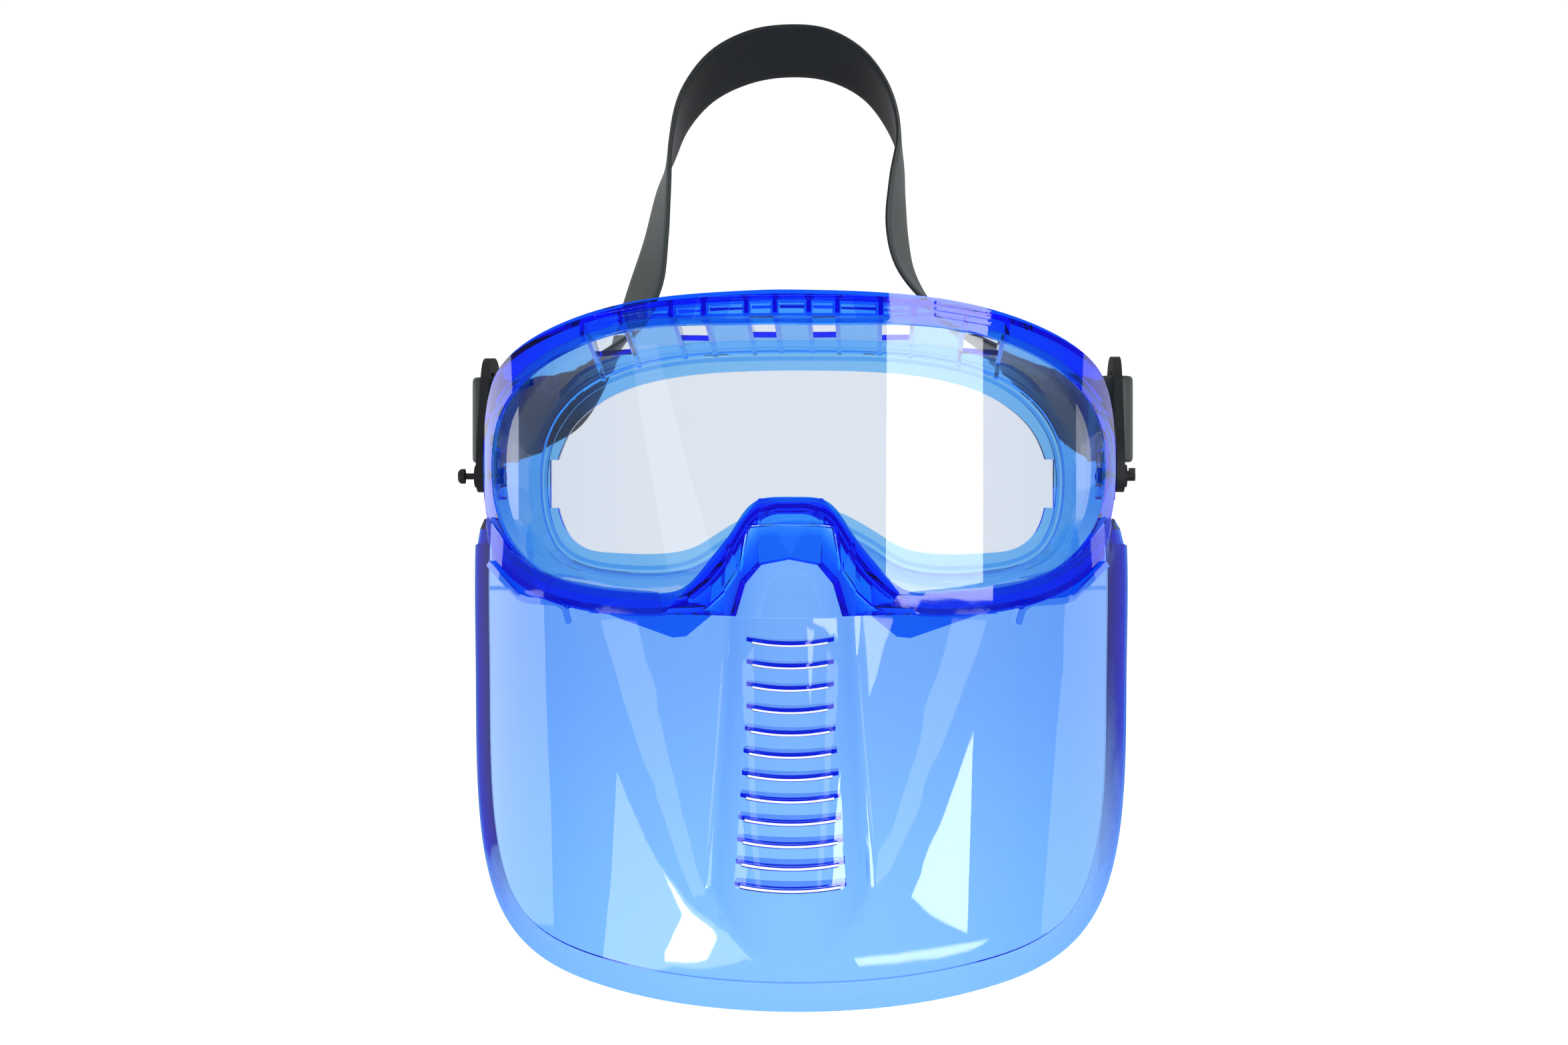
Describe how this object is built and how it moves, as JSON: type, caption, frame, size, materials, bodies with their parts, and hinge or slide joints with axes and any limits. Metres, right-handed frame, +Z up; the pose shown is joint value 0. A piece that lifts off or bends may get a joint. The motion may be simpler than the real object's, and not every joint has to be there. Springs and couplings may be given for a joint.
{
  "type": "safety goggles with face shield",
  "caption": "Wide safety goggles in translucent plastic with a wrap lens, a pull-off vented chin and face shield, and an elastic head strap on pivoting side brackets.",
  "frame": {"origin": "centre of the face opening, on the front of the soft rear flange where it meets the wearer's mid-plane", "axes": "+Y points back toward the wearer, so the front of the goggles faces -Y; +X is to the right in a front view; +Z is up"},
  "size_m": [0.1951, 0.133, 0.2775],
  "materials": {
    "frame_blue": "glossy tinted transparent moulding",
    "lens_clear": "clear polished polycarbonate",
    "shield_blue": "glossy tinted transparent sheet",
    "black_moulding": "satin black moulding",
    "blue_cap": "glossy dark blue moulding",
    "strap_rubber": "smooth matte elastic band"
  },
  "bodies": {
    "goggles": {"goggle_frame": "frame_blue", "lens": "lens_clear", "mushroom_rivet": "black_moulding", "rivet_cap": "blue_cap", "hook_pin": "black_moulding", "hook_pin_cap": "blue_cap"},
    "shield": {"face_shield": "shield_blue"},
    "headband": {"strap_bracket_left": "black_moulding", "strap_bracket_right": "black_moulding", "head_strap": "strap_rubber"}
  },
  "joints": [
    {"name": "headband_swing", "type": "hinge", "parent": "goggles", "child": "headband", "pos_m": [0, 0.016, -0.004], "axis": [1, 0, 0], "range_deg": [-60, 20]},
    {"name": "shield_pull", "type": "slide", "parent": "goggles", "child": "shield", "axis": [0, 0, -1], "range_m": [0, 0.045]}
  ]
}
